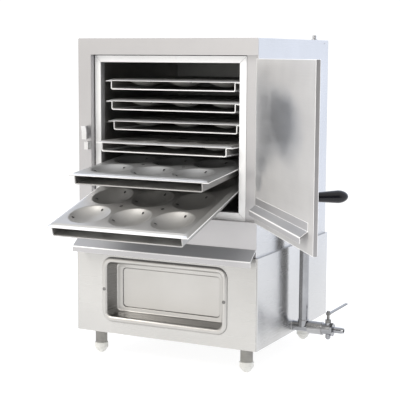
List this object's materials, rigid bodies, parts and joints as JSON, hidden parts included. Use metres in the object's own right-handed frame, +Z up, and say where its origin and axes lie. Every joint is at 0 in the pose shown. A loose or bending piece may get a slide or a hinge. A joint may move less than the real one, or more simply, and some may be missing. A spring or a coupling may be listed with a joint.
{
  "type": "steam cabinet",
  "caption": "Stainless idli steam cabinet with an open door, slide-in bowl plates, a water box below, drain valve, stand pipe and tube legs",
  "frame": {"origin": "on the floor, midway between the upper casing's side walls and front and back", "axes": "+X to the cabinet's right as seen from the front, +Y to the back, +Z up"},
  "size_m": [0.6656, 0.6934, 0.665],
  "materials": {
    "brushed_sheet": "satin sheet",
    "bright_flange": "polished",
    "chamber_steel": "satin, in shade",
    "tray_steel": "pressed sheet",
    "fitting_steel": "polished",
    "bright_pipe": "polished",
    "black_grip": "glossy moulded",
    "white_nylon": "milky",
    "gland_plastic": "moulded",
    "heater_sheath": "dull"
  },
  "bodies": {
    "cabinet": {"upper_casing": "brushed_sheet", "back_panel": "brushed_sheet", "front_frame": "brushed_sheet", "doorway_plate": "brushed_sheet", "doorway_flange": "bright_flange", "chamber_liner": "chamber_steel", "chamber_floor": "chamber_steel", "left_runners": "chamber_steel", "right_runners": "chamber_steel", "hinge_fixed_leaves": "brushed_sheet", "hinge_pins": "fitting_steel", "latch_keeper": "fitting_steel", "sloped_apron": "brushed_sheet", "lower_casing": "brushed_sheet", "bottom_plate": "brushed_sheet", "service_recess": "brushed_sheet", "recess_screws": "fitting_steel", "leg_front_left": "fitting_steel", "leg_front_right": "fitting_steel", "leg_rear_left": "fitting_steel", "leg_rear_right": "fitting_steel", "nylon_feet": "white_nylon", "water_tank": "brushed_sheet", "heater_element": "heater_sheath", "heater_flange": "fitting_steel", "cable_gland": "gland_plastic", "drain_pipe": "bright_pipe", "stand_pipe": "bright_pipe", "pipe_coupling": "bright_pipe", "valve_body": "bright_pipe", "gland_nut": "fitting_steel", "hose_tail": "bright_pipe", "drain_cap": "bright_pipe", "steam_vent": "fitting_steel"},
    "door": {"door_outer_skin": "brushed_sheet", "door_inner_sheet": "brushed_sheet", "door_drip_strip": "brushed_sheet", "hinge_door_leaves": "brushed_sheet", "latch_boss": "fitting_steel", "latch_spindle": "fitting_steel"},
    "latch": {"latch_lever": "fitting_steel", "latch_grip": "black_grip"},
    "valve_handle": {"valve_lever": "fitting_steel", "valve_stem": "fitting_steel", "valve_ball": "bright_pipe", "lever_nut": "fitting_steel"},
    "tray_1": {"idli_plate_1": "tray_steel", "tray_carrier_1": "tray_steel"},
    "tray_2": {"idli_plate_2": "tray_steel", "tray_carrier_2": "tray_steel"},
    "tray_3": {"idli_plate_3": "tray_steel", "tray_carrier_3": "tray_steel"},
    "tray_4": {"idli_plate_4": "tray_steel", "tray_carrier_4": "tray_steel"},
    "tray_5": {"idli_plate_5": "tray_steel", "tray_carrier_5": "tray_steel"},
    "tray_6": {"idli_plate_6": "tray_steel", "tray_carrier_6": "tray_steel"}
  },
  "joints": [
    {"name": "door_hinge", "type": "hinge", "parent": "cabinet", "child": "door", "pos_m": [0.2034, -0.1929, 0.4605], "axis": [0, 0, 1], "range_deg": [-36.5, 116.5]},
    {"name": "latch_turn", "type": "hinge", "parent": "door", "child": "latch", "pos_m": [0.409, -0.44719, 0.453], "axis": [0.7826, 0.6225, 0], "range_deg": [0, 90]},
    {"name": "valve_turn", "type": "hinge", "parent": "cabinet", "child": "valve_handle", "pos_m": [0.2822, -0.006, 0.067], "axis": [0, 0, 1], "range_deg": [-90, 0]},
    {"name": "tray_1_slide", "type": "slide", "parent": "cabinet", "child": "tray_1", "axis": [0, -1, 0], "range_m": [-0.011, 0.139]},
    {"name": "tray_2_slide", "type": "slide", "parent": "cabinet", "child": "tray_2", "axis": [0, -1, 0], "range_m": [-0.009, 0.141]},
    {"name": "tray_3_slide", "type": "slide", "parent": "cabinet", "child": "tray_3", "axis": [0, -1, 0], "range_m": [-0.001, 0.149]},
    {"name": "tray_4_slide", "type": "slide", "parent": "cabinet", "child": "tray_4", "axis": [0, -1, 0], "range_m": [-0.049, 0.101]},
    {"name": "tray_5_tip", "type": "hinge", "parent": "cabinet", "child": "tray_5", "pos_m": [0, -0.1564, 0.4022], "axis": [1, 0, 0], "range_deg": [-6.38, 0]},
    {"name": "tray_6_tip", "type": "hinge", "parent": "cabinet", "child": "tray_6", "pos_m": [0, -0.1564, 0.3609], "axis": [1, 0, 0], "range_deg": [-16.6, 0]}
  ]
}
